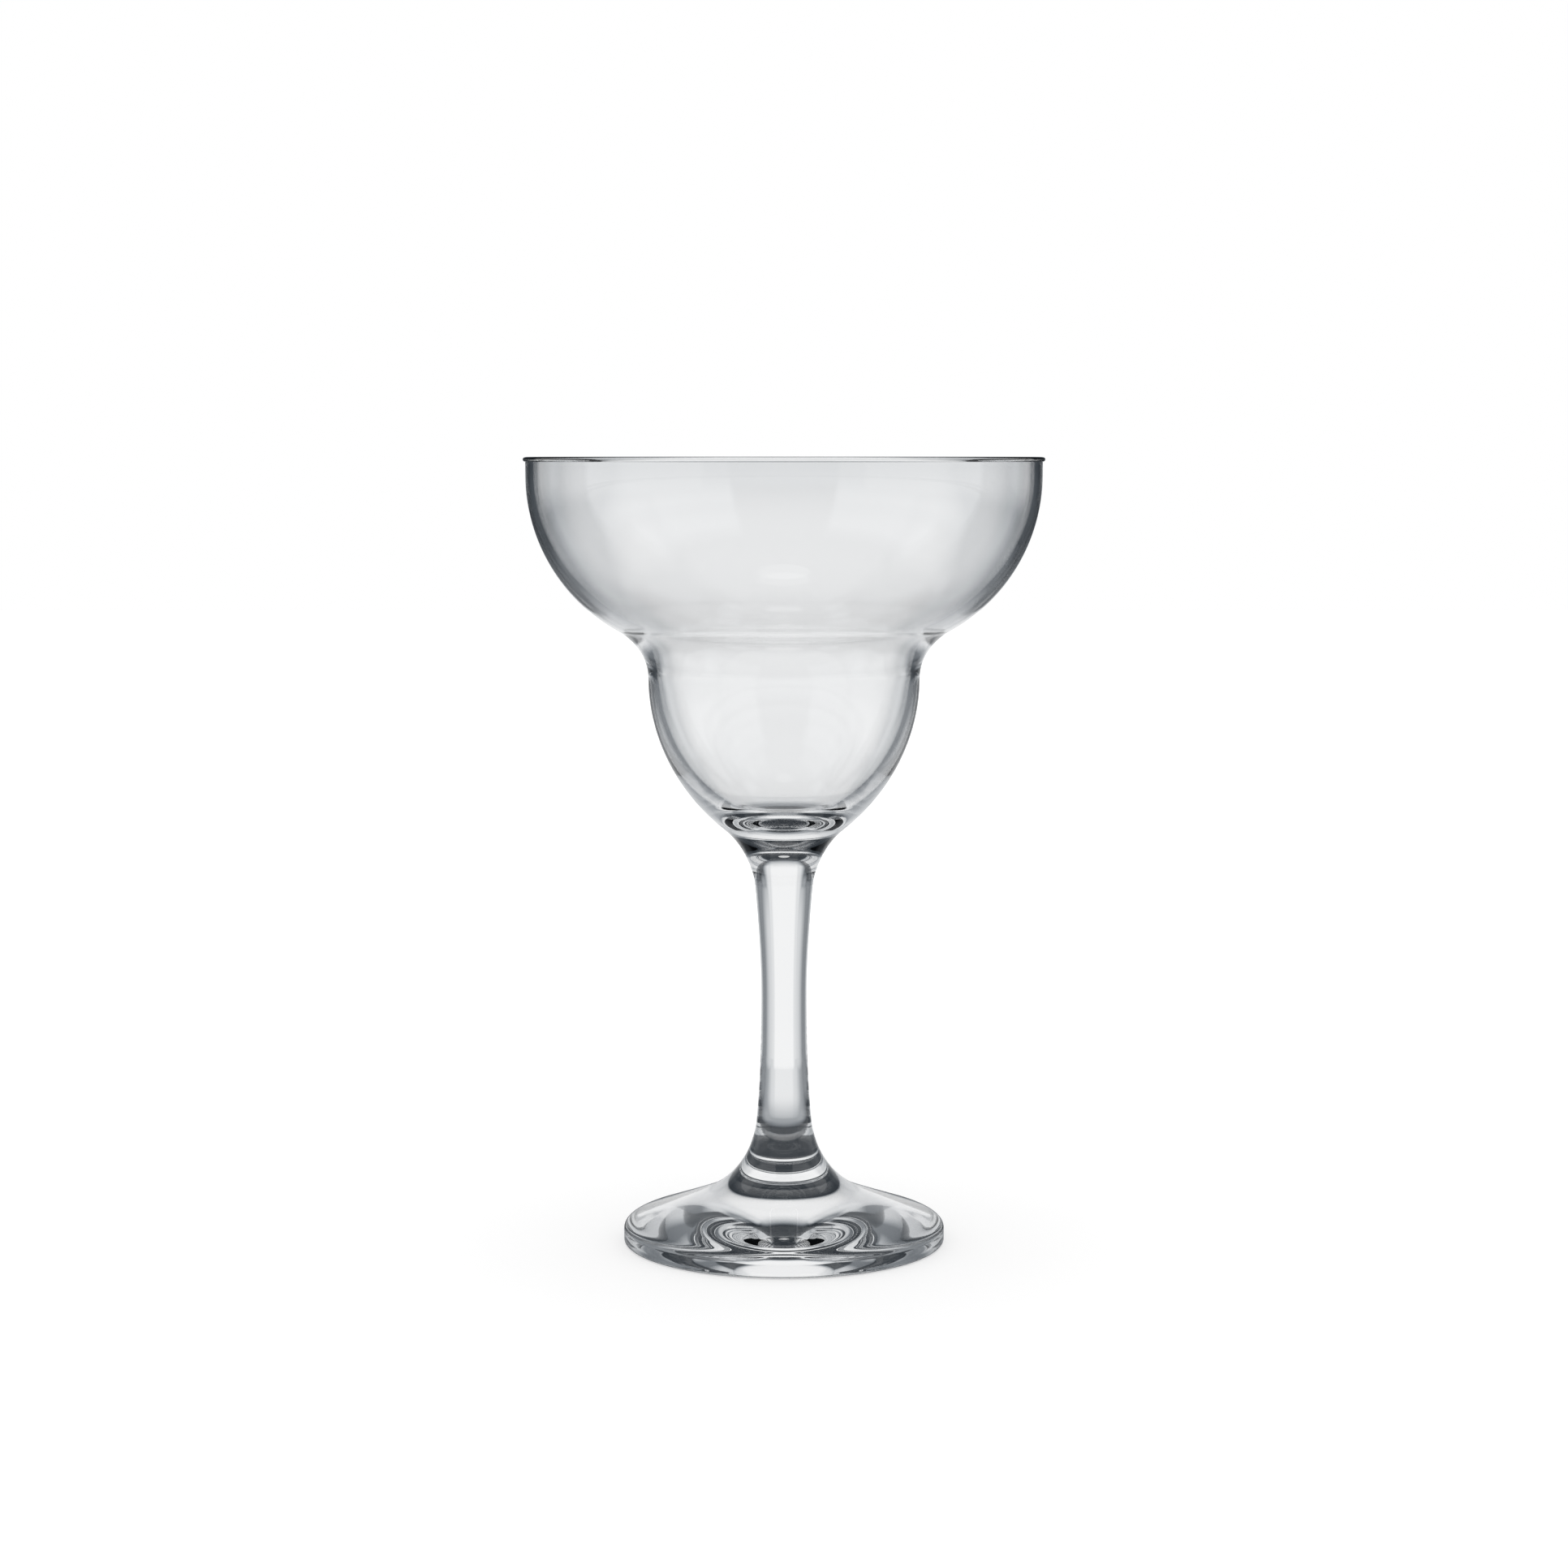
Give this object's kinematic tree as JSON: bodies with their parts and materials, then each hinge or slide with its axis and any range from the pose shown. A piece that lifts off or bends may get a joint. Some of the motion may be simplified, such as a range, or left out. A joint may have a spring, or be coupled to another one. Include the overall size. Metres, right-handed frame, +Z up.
{
  "type": "margarita glass",
  "caption": "Stemmed cocktail glass: a wide beaded saucer stepping down to a small rounded cup, on a slender drawn stem and a broad flared foot that stands on a ring.",
  "frame": {"origin": "centre of the foot on the plane that it stands on", "axes": "+Z up along the glass's axis, from the foot to the rim"},
  "size_m": [0.1142, 0.1142, 0.175],
  "materials": {
    "bowl_glass": "clear, fire-polished rim",
    "stem_glass": "clear, drawn",
    "foot_glass": "clear, pressed and fire-polished"
  },
  "bodies": {
    "root": {"bowl": "bowl_glass", "stem": "stem_glass", "foot": "foot_glass"}
  },
  "joints": []
}
